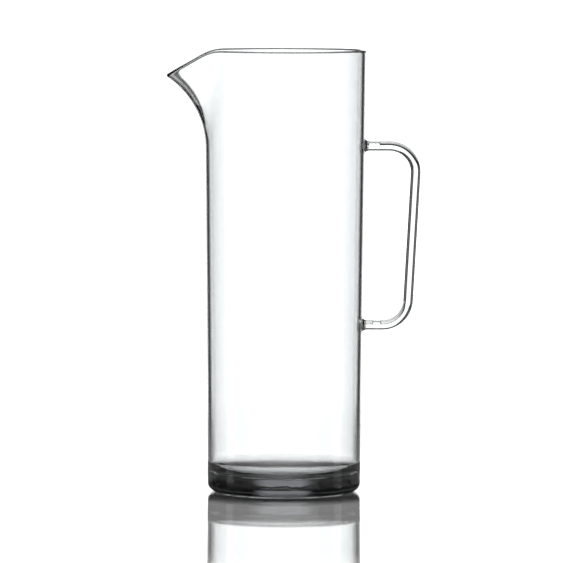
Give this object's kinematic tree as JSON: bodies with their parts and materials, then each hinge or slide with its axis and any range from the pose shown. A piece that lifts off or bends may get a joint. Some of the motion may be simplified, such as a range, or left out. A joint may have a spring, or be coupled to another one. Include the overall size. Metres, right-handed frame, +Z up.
{
  "type": "beer pitcher",
  "caption": "Tall clear pitcher with a slightly tapered round wall, a thick base, a pulled pouring lip and a slim bent rod handle cemented to stubs on the wall.",
  "frame": {"origin": "middle of the standing ring under the base, on the table and on the vessel's axis", "axes": "+Z up along the vessel's axis, +X towards the handle, -X towards the pouring lip"},
  "size_m": [0.1609, 0.103, 0.28],
  "materials": {
    "clear_plastic": "polished, water clear",
    "cement": "cured clear cement"
  },
  "bodies": {
    "root": {"vessel": "clear_plastic", "handle": "clear_plastic", "upper_cement": "cement", "lower_cement": "cement"}
  },
  "joints": []
}
